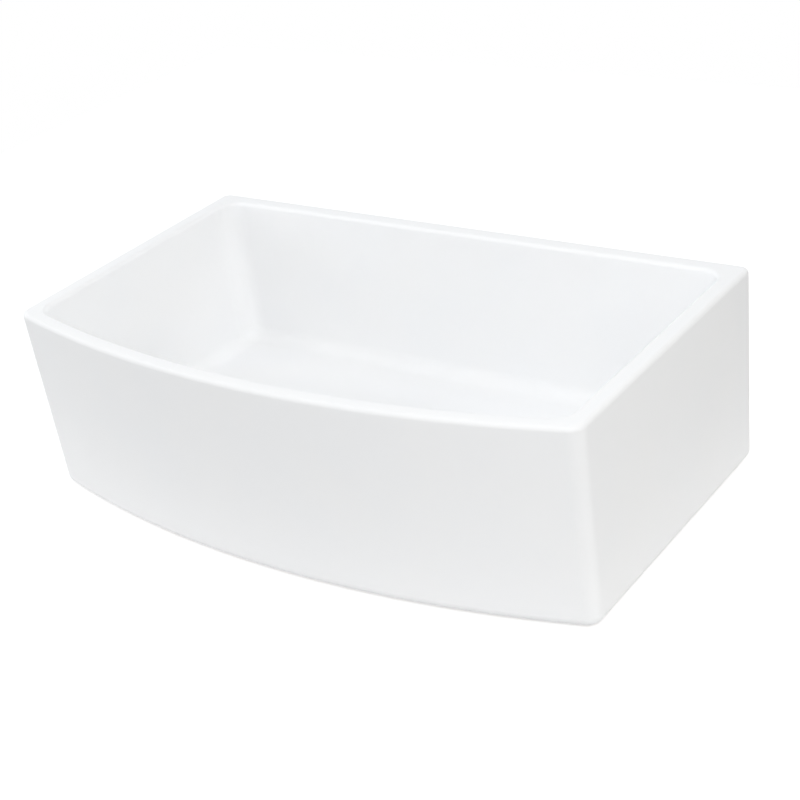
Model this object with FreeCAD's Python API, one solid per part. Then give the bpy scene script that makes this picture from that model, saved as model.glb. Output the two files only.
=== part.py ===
import FreeCAD, Part
import math
import os

# A farmhouse kitchen sink: one deep bowl cast in fireclay with a bowed apron front, and the
# basket strainer waste that is clamped in its drain hole.
#
# Frame: +X to the right, the apron faces -Y, +Z up. The origin is on the drain's axis, in the
# plane of the foot on which the sink stands. Every size is in millimetres.

# ---------------------------------------------------------------- basin, outside
WIDTH = 838.0               # side to side at the rim
DEPTH = 491.0               # back face to the foremost point of the apron, at the rim
BOW = 60.5                  # how far the apron swells forward of its two corners
HEIGHT = 264.5              # foot to rim
SIDE_DRAFT = 3.2            # how much further in each side face is at the foot
BACK_DRAFT = 3.0
APRON_DRAFT = 8.5
BACK_CORNER_R = 12.5        # upright back corners, at the rim
BACK_CORNER_FOOT_R = 18.0   # and where they run out at the foot
FRONT_CORNER_R = 20.5
RIM_R = 6.0                 # rounding of the rim, inside and outside
FOOT_R = 15.5               # rounding all round under the outer faces

# ---------------------------------------------------------------- basin, bowl
SIDE_WALL = 25.0            # wall widths at the rim
BACK_WALL = 25.0
APRON_WALL = 22.0
BOWL_DRAFT = 5.5            # how much further in the bowl's walls are at its floor
BOWL_CORNER_R = 28.0
FLOOR_HEIGHT = 46.0         # foot to the bowl's floor beside its walls
FLOOR_FALL = 4.5            # how much lower the floor is at the drain
FLOOR_R = 22.0              # cove between the walls and the floor

# ---------------------------------------------------------------- basin, underside
FOOT_WIDTH = 30.0           # flat band that carries the sink
POCKET_HEIGHT = 20.0        # foot to the ceiling of the unglazed pocket under the floor
POCKET_DRAFT = 5.0
POCKET_CORNER_R = 30.0
POCKET_R = 8.0
BOSS_STEP = 4.0             # the ground seat round the drain stands this far below the ceiling
BOSS_MARGIN = 14.0          # round the lock nut's lugs
BOSS_SLOPE = 6.0

# ---------------------------------------------------------------- basin, drain
DRAIN_HOLE_R = 45.0
REBATE_DEPTH = 4.0          # step that takes the strainer's flange
REBATE_GAP = 2.5            # round the flange
REBATE_LAND = 7.0           # level ring round the rebate
DRAIN_BEVEL = 1.5           # on the glazed edge round the rebate

# ---------------------------------------------------------------- strainer body
FLANGE_COVER = 12.0         # how far the flange reaches past the drain hole
FLANGE_WALL = 1.4
FLANGE_CROWN = 1.1          # the flange's rolled edge stands this far above its inner seat
FLANGE_EDGE_GAP = 0.3       # rolled edge to the floor of the rebate
FLANGE_SEAT_WIDTH = 6.2     # flat seat of the basket's lip
FLANGE_RISE_WIDTH = 3.5     # from the seat out to the crown
NECK_HOLE_GAP = 2.2         # round the neck, in the drain hole
NECK_WALL = 1.5
NECK_SPARE = 3.0            # thread left below the lock nut
NECK_SHOULDER_R = 7.0
BODY_FLOOR_WALL = 2.0
BODY_FLOOR_FALL = 2.5

# ---------------------------------------------------------------- outlet spigot
OUTLET_R = 20.5
SPIGOT_WALL = 3.2
SPIGOT_LENGTH = 24.0        # below the outlet
CROSS_ARMS = 4
CROSS_ARM_WIDTH = 3.0
CROSS_HEIGHT = 3.5
CROSS_HUB_WALL = 3.0
CROSS_NUT_GAP = 1.0         # stopper nut to the cross below it

# ---------------------------------------------------------------- seals and nuts under the sink
SEAL_THICKNESS = 1.1
SEAL_WIDTH = 4.0
GASKET_THICKNESS = 4.0
GASKET_COVER = 13.0         # how far the gasket reaches past the drain hole
FIBRE_THICKNESS = 1.0
FIBRE_COVER = 11.0
LOCK_NUT_HEIGHT = 14.0
LOCK_NUT_WALL = 9.1
LOCK_NUT_CHAMFER = 1.0
LOCK_NUT_FLANGE_WIDTH = 4.0
LOCK_NUT_FLANGE_HEIGHT = 3.0
LOCK_NUT_LUGS = 6
LOCK_NUT_LUG_WIDTH = 9.0
LOCK_NUT_LUG_REACH = 4.0    # past the nut's flange

# ---------------------------------------------------------------- tailpiece
TAILPIECE_R = 19.05
TAILPIECE_WALL = 0.9
TAILPIECE_LENGTH = 101.6
TAILPIECE_FLANGE_GAP = 0.7  # its flange stands this far inside the spigot's thread
TAILPIECE_FLANGE_THICKNESS = 1.4
TAIL_WASHER_THICKNESS = 2.0
COUPLING_WALL = 3.2         # at the middle of each flat
COUPLING_HEIGHT = 21.0
COUPLING_LIP = 2.6
COUPLING_LIP_GAP = 1.0      # round the tube, so that a trap's sleeve can reach the nut
COUPLING_SIDES = 8
COUPLING_COLLAR_HEIGHT = 5.0

# ---------------------------------------------------------------- basket
CUP_WALL = 1.0
CUP_LIP_GAP = 1.0           # edge of the lip inside the edge of its seat
CUP_SIDE_GAP = 1.5          # round the cup in the neck, under the lip
CUP_TAPER = 2.8
CUP_BEND_R = 6.0
CUP_SLOTS = 12              # in the wall, and as many between them in the floor
CUP_SLOT_WIDTH = 4.2
CUP_WALL_SLOT_LENGTH = 17.0
CUP_WALL_SLOT_RISE = 8.5    # cup's floor to the foot of the slots
CUP_FLOOR_SLOT_START = 4.5  # from the bush's flange
CUP_FLOOR_SLOT_END = 2.5    # before the bend
BUSH_WALL = 4.0
BUSH_HEIGHT = 9.0           # above the cup's floor
BUSH_FLANGE_WIDTH = 1.6
BUSH_FLANGE_THICKNESS = 1.4
BUSH_NECK_WALL = 2.4
BUSH_CHAMFER = 0.8
O_RING_SECTION_R = 1.0

# ---------------------------------------------------------------- stopper and its post
POST_R = 4.0
POST_TIP_R = 1.5
POST_GUIDE_LENGTH = 5.5     # post below the underside of the cross
POST_SPIGOT_R = 2.8         # thread that the knob is screwed on
POST_SPIGOT_LENGTH = 9.0
COLLAR_R = 8.0
COLLAR_THICKNESS = 1.5
STOPPER_COVER = 9.5         # how far the stopper reaches past the outlet
STOPPER_THICKNESS = 6.5
STOPPER_EDGE = 2.5
STOPPER_BEVEL = 0.6
STOPPER_SEAT_WIDTH = 6.0
STOPPER_CROWN_WIDTH = 10.0  # slope from the stopper's top down to its edge
STOPPER_HUB_R = 12.0
STOPPER_TRAVEL = 8.0
STOPPER_WASHER_R = 10.5
STOPPER_WASHER_THICKNESS = 1.0
STOPPER_NUT_HEIGHT = 3.2
STOPPER_NUT_FLATS = 11.0
KNOB_R = 12.5
KNOB_HEAD_HEIGHT = 9.0
KNOB_CROWN_R = 6.0
KNOB_EDGE_R = 2.0
KNOB_STEM_R = 5.2
KNOB_STEM_LENGTH = 11.0
KNOB_ABOVE_SEAT = 5.0       # top of the knob above the flange's seat

# ---------------------------------------------------------------- clearances
RUNNING_GAP = 0.1           # a post in its guide, radially
THREAD_GAP = 0.1            # crest of a thread in its nut, radially
SEAT_GAP = 0.3              # a lift-out piece on its seat
LOOSE_GAP = 0.4             # washers and gaskets round a neck
PLAY = 0.1                  # stopper between its collar and its washer
OVERCUT = 5.0               # how far a cutting body runs past the face that it opens

# ---------------------------------------------------------------- places worked out from the sizes
back_y = DEPTH / 2
front_y = -DEPTH / 2
bow_radius = ((WIDTH / 2) ** 2 + BOW**2) / (2 * BOW)
bow_centre_y = front_y + bow_radius
land_z = FLOOR_HEIGHT - FLOOR_FALL
rebate_z = land_z - REBATE_DEPTH
boss_z = POCKET_HEIGHT - BOSS_STEP

seat_z = rebate_z + SEAL_THICKNESS + FLANGE_WALL
gasket_z = boss_z - GASKET_THICKNESS
fibre_z = gasket_z - FIBRE_THICKNESS
lock_nut_z = fibre_z - LOCK_NUT_HEIGHT
flange_r = DRAIN_HOLE_R + FLANGE_COVER
neck_r = DRAIN_HOLE_R - NECK_HOLE_GAP
neck_bore_r = neck_r - NECK_WALL
flange_seat_r = neck_bore_r + FLANGE_SEAT_WIDTH
flange_crown_r = flange_seat_r + FLANGE_RISE_WIDTH
spigot_r = OUTLET_R + SPIGOT_WALL
lock_nut_r = neck_r + THREAD_GAP + LOCK_NUT_WALL
lock_nut_flange_r = lock_nut_r + LOCK_NUT_FLANGE_WIDTH
lock_nut_lug_r = lock_nut_flange_r + LOCK_NUT_LUG_REACH
boss_r = lock_nut_lug_r + BOSS_MARGIN
body_floor_z = lock_nut_z - NECK_SPARE - NECK_SHOULDER_R + BODY_FLOOR_WALL
body_slope = BODY_FLOOR_FALL / (neck_bore_r - OUTLET_R)
outlet_z = body_floor_z - BODY_FLOOR_FALL
spigot_z = outlet_z - BODY_FLOOR_WALL - SPIGOT_LENGTH

tail_flange_r = spigot_r - TAILPIECE_FLANGE_GAP
tail_flange_z = spigot_z - TAIL_WASHER_THICKNESS
tail_z = tail_flange_z - TAILPIECE_LENGTH
coupling_lip_z = tail_flange_z - TAILPIECE_FLANGE_THICKNESS - PLAY
coupling_z = coupling_lip_z - COUPLING_LIP


def body_floor(radius):
    """Height of the strainer body's sloping floor at a radius."""
    return body_floor_z - body_slope * (neck_bore_r - radius)


stopper_r = OUTLET_R + STOPPER_COVER
stopper_z = body_floor(stopper_r - STOPPER_SEAT_WIDTH / 2) + SEAT_GAP
stopper_top_z = stopper_z + STOPPER_THICKNESS
stopper_washer_z = outlet_z - STOPPER_WASHER_THICKNESS
stopper_nut_z = stopper_washer_z - STOPPER_NUT_HEIGHT
cross_top_z = stopper_nut_z - CROSS_NUT_GAP
cross_z = cross_top_z - CROSS_HEIGHT
bush_foot_z = stopper_top_z + STOPPER_TRAVEL + SEAT_GAP
cup_z = bush_foot_z + BUSH_FLANGE_THICKNESS
cup_floor_z = cup_z + CUP_WALL
cup_lip_z = seat_z + SEAT_GAP
cup_lip_r = flange_seat_r - CUP_LIP_GAP
cup_top_r = neck_bore_r - CUP_SIDE_GAP
cup_foot_r = cup_top_r - CUP_TAPER
post_tip_z = cross_z - POST_GUIDE_LENGTH
knob_top_z = seat_z + KNOB_ABOVE_SEAT
knob_head_z = knob_top_z - KNOB_HEAD_HEIGHT
knob_z = knob_head_z - KNOB_STEM_LENGTH
guide_r = POST_R + RUNNING_GAP
bush_r = guide_r + BUSH_WALL
bush_neck_r = guide_r + BUSH_NECK_WALL
bush_flange_r = bush_r + BUSH_FLANGE_WIDTH


# ---------------------------------------------------------------- shared shapes
def point(x, y, z):
    return FreeCAD.Vector(x, y, z)


def arc(start, middle, end):
    return Part.Arc(start, middle, end).toShape()


def line(start, end):
    return Part.LineSegment(start, end).toShape()


def walled(low, high, low_z, high_z):
    """Block with flat, drafted sides and back and a bowed front, between two heights.

    low and high say how far in from the rim's outline its walls are: (sides, back, front).
    """
    levels = []
    for (side, back, front), z in ((low, low_z), (high, high_z)):
        half = WIDTH / 2 - side
        rear = back_y - back
        ahead = front_y - OVERCUT
        levels.append(
            [point(-half, ahead, z), point(half, ahead, z), point(half, rear, z), point(-half, rear, z)]
        )
    lower, upper = levels
    loops = [lower, upper]
    for i in range(4):
        j = (i + 1) % 4
        loops.append([lower[i], lower[j], upper[j], upper[i]])
    faces = [Part.Face(Part.makePolygon(loop + loop[:1])) for loop in loops]
    block = Part.Solid(Part.Shell(faces))
    bow = Part.makeCone(
        bow_radius - low[2], bow_radius - high[2], high_z - low_z, point(0, bow_centre_y, low_z)
    )
    return block.common(bow)


def upright_edges(shape, at_back):
    """Edges from the bottom to the top of a block, at its back or at its front."""
    found = []
    for edge in shape.Edges:
        box = edge.BoundBox
        if box.ZLength > shape.BoundBox.ZLength / 2 and (box.YMin > 0) == at_back:
            found.append(edge)
    return found


def level_edges(shape, z):
    """Edges of a shape that lie wholly at one height."""
    found = []
    for edge in shape.Edges:
        box = edge.BoundBox
        if abs(box.ZMin - z) < 0.01 and abs(box.ZMax - z) < 0.01:
            found.append(edge)
    return found


def corner(before, at, after, radius):
    """The two tangent points and the middle of the arc that rounds a corner."""
    to_before = (before - at).normalize()
    to_after = (after - at).normalize()
    half_angle = to_before.getAngle(to_after) / 2
    run = radius / math.tan(half_angle)
    bisector = (to_before + to_after).normalize()
    middle = at + bisector * (radius / math.sin(half_angle) - radius)
    return at + to_before * run, middle, at + to_after * run


def turned(profile):
    """Solid of revolution about the drain's axis.

    The profile is a closed list of (radius, height) or (radius, height, corner radius).
    """
    spots = [point(p[0], 0, p[1]) for p in profile]
    radii = [p[2] if len(p) > 2 else 0.0 for p in profile]
    edges = []
    first = None
    last = None
    for i, spot in enumerate(spots):
        if radii[i] > 0:
            after = spots[(i + 1) % len(spots)]
            start, middle, end = corner(spots[i - 1], spot, after, radii[i])
        else:
            start = end = spot
        if last is None:
            first = start
        elif last.distanceToPoint(start) > 1e-6:
            edges.append(line(last, start))
        if radii[i] > 0:
            edges.append(arc(start, middle, end))
        last = end
    edges.append(line(last, first))
    face = Part.Face(Part.Wire(edges))
    return face.revolve(point(0, 0, 0), point(0, 0, 1), 360)


def ring(inner, outer, low, high):
    """Flat ring on the drain's axis."""
    return turned([(inner, low), (outer, low), (outer, high), (inner, high)])


def rod(radius, low, high):
    return Part.makeCylinder(radius, high - low, point(0, 0, low))


def around(shape, angle):
    """A copy of a shape turned about the drain's axis, in degrees."""
    copy = shape.copy()
    copy.rotate(point(0, 0, 0), point(0, 0, 1), angle)
    return copy


def polygon_prism(sides, flat_radius, low, high):
    """Upright prism with flats at one radius from the drain's axis."""
    corner_r = flat_radius / math.cos(math.pi / sides)
    corners = []
    for i in range(sides + 1):
        angle = 2 * math.pi * (i + 0.5) / sides
        corners.append(point(corner_r * math.cos(angle), corner_r * math.sin(angle), low))
    return Part.Face(Part.makePolygon(corners)).extrude(point(0, 0, high - low))


# ---------------------------------------------------------------- the basin
def outer_block():
    block = walled((SIDE_DRAFT, BACK_DRAFT, APRON_DRAFT), (0, 0, 0), 0, HEIGHT)
    block = block.makeFillet(FRONT_CORNER_R, upright_edges(block, False))
    for side in (-1, 1):
        for edge in upright_edges(block, True):
            first, last = [edge.valueAt(t) for t in edge.ParameterRange]
            if first.x * side > WIDTH / 4:
                radii = (BACK_CORNER_FOOT_R, BACK_CORNER_R)
                if first.z > last.z:
                    radii = radii[::-1]
                block = block.makeFillet(*radii, [edge])
                break
    return block.makeFillet(FOOT_R, level_edges(block, 0))


def bowl_insets(z):
    """How far in from the rim's outline the bowl's sides, back and front are at a height."""
    lean = BOWL_DRAFT * (HEIGHT - z) / (HEIGHT - FLOOR_HEIGHT)
    return SIDE_WALL + lean, BACK_WALL + lean, APRON_WALL + lean


def bowl_space():
    top_z = HEIGHT + OVERCUT
    space = walled(bowl_insets(FLOOR_HEIGHT), bowl_insets(top_z), FLOOR_HEIGHT, top_z)
    corners = upright_edges(space, False) + upright_edges(space, True)
    space = space.makeFillet(BOWL_CORNER_R, corners)
    return space.makeFillet(FLOOR_R, level_edges(space, FLOOR_HEIGHT))


def floor_funnel(space):
    """The fall of the bowl's floor, from the cove all round down to the level ring at the drain."""
    floor = [face for face in space.Faces if abs(face.BoundBox.ZMax - FLOOR_HEIGHT) < 0.01][0]
    edge = floor.OuterWire
    land_r = flange_r + REBATE_GAP + REBATE_LAND
    angles = [math.atan2(v.Y, v.X) for v in edge.OrderedVertexes]
    arcs = []
    for i, start in enumerate(angles):
        end = angles[(i + 1) % len(angles)]
        sweep = (end - start + math.pi) % (2 * math.pi) - math.pi
        spots = [
            point(land_r * math.cos(a), land_r * math.sin(a), land_z)
            for a in (start, start + sweep / 2, start + sweep)
        ]
        arcs.append(arc(*spots))
    return Part.makeLoft([Part.Wire(arcs), edge], True, True)


def pocket_insets(z):
    """How far in from the rim's outline the pocket's walls are at a height."""
    inset = SIDE_DRAFT + FOOT_R + FOOT_WIDTH + POCKET_DRAFT * z / POCKET_HEIGHT
    return inset, inset, inset


def underside_pocket():
    pocket = walled(
        pocket_insets(-OVERCUT), pocket_insets(POCKET_HEIGHT), -OVERCUT, POCKET_HEIGHT
    )
    corners = upright_edges(pocket, False) + upright_edges(pocket, True)
    pocket = pocket.makeFillet(POCKET_CORNER_R, corners)
    return pocket.makeFillet(POCKET_R, level_edges(pocket, POCKET_HEIGHT))


def make_sink_basin():
    space = bowl_space()
    basin = outer_block().cut(space)
    basin = basin.makeFillet(RIM_R, level_edges(basin, HEIGHT))
    basin = basin.cut(floor_funnel(space))
    basin = basin.cut(underside_pocket())
    boss = Part.makeCone(
        boss_r, boss_r + BOSS_SLOPE, BOSS_STEP + OVERCUT, point(0, 0, boss_z)
    )
    basin = basin.fuse(boss)
    rebate_r = flange_r + REBATE_GAP
    drain = turned(
        [
            (0, boss_z - OVERCUT),
            (DRAIN_HOLE_R, boss_z - OVERCUT),
            (DRAIN_HOLE_R, rebate_z),
            (rebate_r, rebate_z),
            (rebate_r, land_z - DRAIN_BEVEL),
            (rebate_r + DRAIN_BEVEL, land_z),
            (rebate_r + DRAIN_BEVEL, land_z + OVERCUT),
            (0, land_z + OVERCUT),
        ]
    )
    return basin.cut(drain).removeSplitter()


# ---------------------------------------------------------------- the strainer body
def make_strainer_body():
    edge_z = rebate_z + FLANGE_EDGE_GAP
    crown_z = seat_z + FLANGE_CROWN
    under_z = seat_z - FLANGE_WALL
    crown_under_z = crown_z - FLANGE_WALL
    roll_r = flange_r - FLANGE_WALL
    return turned(
        [
            (flange_r, edge_z),
            (flange_r, crown_z, 2 * FLANGE_WALL),
            (flange_crown_r, crown_z),
            (flange_seat_r, seat_z),
            (neck_bore_r, seat_z, NECK_WALL),
            (neck_bore_r, body_floor_z, NECK_SHOULDER_R - NECK_WALL),
            (OUTLET_R, outlet_z, BODY_FLOOR_WALL),
            (OUTLET_R, outlet_z - BODY_FLOOR_WALL),
            (neck_r, body_floor(neck_r) - BODY_FLOOR_WALL, NECK_SHOULDER_R),
            (neck_r, under_z),
            (flange_seat_r + FLANGE_WALL, under_z),
            (flange_crown_r + FLANGE_WALL, crown_under_z),
            (roll_r, crown_under_z),
            (roll_r, edge_z),
        ]
    )


def make_outlet_spigot():
    """Threaded spigot brazed under the outlet, with the cross that guides the post."""
    tube = turned(
        [
            (OUTLET_R, spigot_z),
            (spigot_r, spigot_z),
            (spigot_r, body_floor(spigot_r) - BODY_FLOOR_WALL),
            (OUTLET_R, outlet_z - BODY_FLOOR_WALL),
        ]
    )
    hub = ring(guide_r, guide_r + CROSS_HUB_WALL, cross_z, cross_top_z)
    arm_start = guide_r + CROSS_HUB_WALL / 2
    arm_end = (OUTLET_R + spigot_r) / 2
    arm = Part.makeBox(
        arm_end - arm_start,
        CROSS_ARM_WIDTH,
        CROSS_HEIGHT,
        point(arm_start, -CROSS_ARM_WIDTH / 2, cross_z),
    )
    arms = [around(arm, 360 * i / CROSS_ARMS) for i in range(CROSS_ARMS)]
    return tube.multiFuse([hub] + arms).removeSplitter()


# ---------------------------------------------------------------- seals and nuts
def make_flange_seal():
    inner = DRAIN_HOLE_R + LOOSE_GAP
    return ring(inner, inner + SEAL_WIDTH, rebate_z, rebate_z + SEAL_THICKNESS)


def make_body_gasket():
    return ring(neck_r + LOOSE_GAP, DRAIN_HOLE_R + GASKET_COVER, gasket_z, boss_z)


def make_fibre_washer():
    return ring(neck_r + LOOSE_GAP, DRAIN_HOLE_R + FIBRE_COVER, fibre_z, gasket_z)


def make_lock_nut():
    bore = neck_r + THREAD_GAP
    flange_z = fibre_z - LOCK_NUT_FLANGE_HEIGHT
    nut = turned(
        [
            (bore, lock_nut_z),
            (lock_nut_r - LOCK_NUT_CHAMFER, lock_nut_z),
            (lock_nut_r, lock_nut_z + LOCK_NUT_CHAMFER),
            (lock_nut_r, flange_z),
            (lock_nut_flange_r, flange_z),
            (lock_nut_flange_r, fibre_z),
            (bore, fibre_z),
        ]
    )
    lug_start = (bore + lock_nut_r) / 2
    lug = Part.makeBox(
        lock_nut_lug_r - lug_start,
        LOCK_NUT_LUG_WIDTH,
        LOCK_NUT_HEIGHT,
        point(lug_start, -LOCK_NUT_LUG_WIDTH / 2, lock_nut_z),
    )
    lug = lug.common(rod(lock_nut_lug_r, lock_nut_z, fibre_z))
    lugs = [around(lug, 360 * i / LOCK_NUT_LUGS) for i in range(LOCK_NUT_LUGS)]
    return nut.multiFuse(lugs).removeSplitter()


# ---------------------------------------------------------------- the tailpiece
def make_tailpiece_washer():
    return ring(TAILPIECE_R, tail_flange_r, tail_flange_z, spigot_z)


def make_tailpiece():
    bore = TAILPIECE_R - TAILPIECE_WALL
    flange_z = tail_flange_z - TAILPIECE_FLANGE_THICKNESS
    return turned(
        [
            (bore, tail_z),
            (TAILPIECE_R, tail_z),
            (TAILPIECE_R, flange_z),
            (tail_flange_r, flange_z),
            (tail_flange_r, tail_flange_z),
            (bore, tail_flange_z),
        ]
    )


def make_coupling_nut():
    top_z = coupling_z + COUPLING_HEIGHT
    bore = spigot_r + THREAD_GAP
    flat_r = bore + COUPLING_WALL
    collar_z = top_z - COUPLING_COLLAR_HEIGHT
    corner_r = flat_r / math.cos(math.pi / COUPLING_SIDES)
    body = polygon_prism(COUPLING_SIDES, flat_r, coupling_z, collar_z)
    chamfer = COUPLING_WALL / 2
    body = body.common(
        turned(
            [
                (0, coupling_z),
                (corner_r - chamfer, coupling_z),
                (corner_r, coupling_z + chamfer),
                (corner_r, collar_z),
                (0, collar_z),
            ]
        )
    )
    collar = rod(flat_r, collar_z, top_z)
    hollow = turned(
        [
            (0, coupling_z - OVERCUT),
            (TAILPIECE_R + COUPLING_LIP_GAP, coupling_z - OVERCUT),
            (TAILPIECE_R + COUPLING_LIP_GAP, coupling_lip_z),
            (bore, coupling_lip_z),
            (bore, top_z + OVERCUT),
            (0, top_z + OVERCUT),
        ]
    )
    return body.fuse(collar).cut(hollow).removeSplitter()


# ---------------------------------------------------------------- the basket
def slot_cutter(length, reach):
    """Body that cuts a slot with round ends: it lies along +X from the origin and is reach tall."""
    half = CUP_SLOT_WIDTH / 2
    straight = Part.makeBox(length - CUP_SLOT_WIDTH, CUP_SLOT_WIDTH, reach, point(half, -half, 0))
    ends = [Part.makeCylinder(half, reach, point(x, 0, 0)) for x in (half, length - half)]
    return straight.multiFuse(ends).removeSplitter()


def make_basket_cup():
    lip_top_z = cup_lip_z + CUP_WALL
    hole_r = bush_neck_r + RUNNING_GAP
    shell = turned(
        [
            (hole_r, cup_z),
            (cup_foot_r, cup_z, CUP_BEND_R),
            (cup_top_r, cup_lip_z),
            (cup_lip_r, cup_lip_z),
            (cup_lip_r, lip_top_z),
            (cup_top_r - CUP_WALL, lip_top_z, 2 * CUP_WALL),
            (cup_foot_r - CUP_WALL, cup_floor_z, CUP_BEND_R - CUP_WALL),
            (hole_r, cup_floor_z),
        ]
    )
    in_wall = slot_cutter(CUP_WALL_SLOT_LENGTH, cup_top_r)
    in_wall.rotate(point(0, 0, 0), point(0, 1, 0), -90)
    in_wall.rotate(point(0, 0, 0), point(0, 0, 1), 180)
    in_wall.translate(point(cup_foot_r / 2, 0, cup_floor_z + CUP_WALL_SLOT_RISE))
    floor_start = bush_flange_r + CUP_FLOOR_SLOT_START
    floor_end = cup_foot_r - CUP_BEND_R - CUP_FLOOR_SLOT_END
    in_floor = slot_cutter(floor_end - floor_start, 3 * CUP_WALL)
    in_floor.translate(point(floor_start, 0, cup_z - CUP_WALL))
    cuts = []
    for i in range(CUP_SLOTS):
        cuts.append(around(in_floor, 360 * i / CUP_SLOTS))
        cuts.append(around(in_wall, 360 * (i + 0.5) / CUP_SLOTS))
    return shell.cut(Part.makeCompound(cuts)).removeSplitter()


def make_post_bush():
    groove_r = POST_R + 2 * O_RING_SECTION_R + RUNNING_GAP
    groove_half = O_RING_SECTION_R + RUNNING_GAP
    groove_z = o_ring_height()
    top_z = cup_floor_z + BUSH_HEIGHT
    return turned(
        [
            (guide_r, bush_foot_z),
            (bush_r, bush_foot_z),
            (bush_r, cup_z),
            (bush_neck_r, cup_z),
            (bush_neck_r, cup_floor_z),
            (bush_flange_r, cup_floor_z),
            (bush_flange_r, cup_floor_z + BUSH_FLANGE_THICKNESS),
            (bush_r, cup_floor_z + BUSH_FLANGE_THICKNESS),
            (bush_r, top_z - BUSH_CHAMFER),
            (bush_r - BUSH_CHAMFER, top_z),
            (guide_r, top_z),
            (guide_r, groove_z + groove_half),
            (groove_r, groove_z + groove_half),
            (groove_r, groove_z - groove_half),
            (guide_r, groove_z - groove_half),
        ]
    )


def o_ring_height():
    return cup_floor_z + BUSH_FLANGE_THICKNESS + (BUSH_HEIGHT - BUSH_FLANGE_THICKNESS) / 2


def make_post_o_ring():
    centre_r = POST_R + RUNNING_GAP / 2 + O_RING_SECTION_R
    return Part.makeTorus(centre_r, O_RING_SECTION_R, point(0, 0, o_ring_height()))


# ---------------------------------------------------------------- the stopper and its post
def make_rubber_stopper():
    seat_inner_r = stopper_r - STOPPER_SEAT_WIDTH
    bevel_r = stopper_r - STOPPER_BEVEL
    relief_z = stopper_z + STOPPER_EDGE / 2
    collar_hole_r = COLLAR_R + SEAT_GAP
    collar_seat_z = stopper_top_z - COLLAR_THICKNESS
    return turned(
        [
            (guide_r, outlet_z + PLAY),
            (STOPPER_HUB_R, outlet_z + PLAY),
            (STOPPER_HUB_R, relief_z),
            (seat_inner_r, relief_z),
            (seat_inner_r, body_floor(seat_inner_r) + SEAT_GAP),
            (bevel_r, body_floor(bevel_r) + SEAT_GAP),
            (stopper_r, body_floor(stopper_r) + SEAT_GAP + STOPPER_BEVEL),
            (stopper_r, stopper_z + STOPPER_EDGE),
            (stopper_r - STOPPER_CROWN_WIDTH, stopper_top_z),
            (collar_hole_r, stopper_top_z),
            (collar_hole_r, collar_seat_z),
            (guide_r, collar_seat_z),
        ]
    )


def make_stopper_post():
    collar_z = stopper_top_z - COLLAR_THICKNESS + PLAY
    return turned(
        [
            (0, post_tip_z),
            (POST_R, post_tip_z, POST_TIP_R),
            (POST_R, collar_z),
            (COLLAR_R, collar_z),
            (COLLAR_R, stopper_top_z),
            (POST_R, stopper_top_z),
            (POST_R, knob_z),
            (POST_SPIGOT_R, knob_z),
            (POST_SPIGOT_R, knob_z + POST_SPIGOT_LENGTH),
            (0, knob_z + POST_SPIGOT_LENGTH),
        ]
    )


def make_stopper_washer():
    return ring(guide_r, STOPPER_WASHER_R, stopper_washer_z, outlet_z)


def make_stopper_nut():
    nut = polygon_prism(6, STOPPER_NUT_FLATS / 2, stopper_nut_z, stopper_washer_z)
    bore = rod(guide_r, stopper_nut_z - OVERCUT, stopper_washer_z + OVERCUT)
    return nut.cut(bore)


def make_knob():
    bore = POST_SPIGOT_R + RUNNING_GAP
    bore_top = knob_z + POST_SPIGOT_LENGTH + PLAY
    return turned(
        [
            (bore, knob_z),
            (KNOB_STEM_R, knob_z),
            (KNOB_STEM_R, knob_head_z, KNOB_EDGE_R),
            (KNOB_R, knob_head_z, KNOB_EDGE_R),
            (KNOB_R, knob_top_z, KNOB_CROWN_R),
            (0, knob_top_z),
            (0, bore_top),
            (bore, bore_top),
        ]
    )


PIECES = {
    "sink_basin": make_sink_basin,
    "strainer_body": make_strainer_body,
    "outlet_spigot": make_outlet_spigot,
    "flange_seal": make_flange_seal,
    "body_gasket": make_body_gasket,
    "fibre_washer": make_fibre_washer,
    "lock_nut": make_lock_nut,
    "tailpiece_washer": make_tailpiece_washer,
    "tailpiece": make_tailpiece,
    "coupling_nut": make_coupling_nut,
    "basket_cup": make_basket_cup,
    "post_bush": make_post_bush,
    "post_o_ring": make_post_o_ring,
    "rubber_stopper": make_rubber_stopper,
    "stopper_post": make_stopper_post,
    "stopper_washer": make_stopper_washer,
    "stopper_nut": make_stopper_nut,
    "knob": make_knob,
}

os.makedirs("parts", exist_ok=True)
for name, make in PIECES.items():
    solid = make()
    box = solid.optimalBoundingBox(False)
    print(
        f"{name:18s} {len(solid.Solids)} solid, valid {solid.isValid()}, "
        f"{solid.Volume / 1000:9.2f} cm3, z {box.ZMin:7.2f} to {box.ZMax:7.2f}"
    )
    solid.exportStep(f"parts/{name}.step")
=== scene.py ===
import math

import bmesh
import bpy
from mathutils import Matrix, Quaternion, Vector


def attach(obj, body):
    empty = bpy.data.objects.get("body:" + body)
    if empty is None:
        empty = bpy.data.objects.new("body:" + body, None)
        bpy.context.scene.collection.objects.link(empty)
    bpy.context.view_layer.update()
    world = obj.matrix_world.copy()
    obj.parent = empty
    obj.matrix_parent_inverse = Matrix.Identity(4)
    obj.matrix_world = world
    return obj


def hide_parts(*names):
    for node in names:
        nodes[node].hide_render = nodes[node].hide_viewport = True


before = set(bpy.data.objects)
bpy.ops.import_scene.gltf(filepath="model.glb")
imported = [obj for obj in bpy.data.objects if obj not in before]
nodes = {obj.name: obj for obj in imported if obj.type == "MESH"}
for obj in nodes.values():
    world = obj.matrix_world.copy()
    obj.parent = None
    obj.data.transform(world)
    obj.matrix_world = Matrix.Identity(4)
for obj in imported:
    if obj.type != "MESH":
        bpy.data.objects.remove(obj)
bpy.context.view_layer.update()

scene = bpy.context.scene
MM = 0.001


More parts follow.
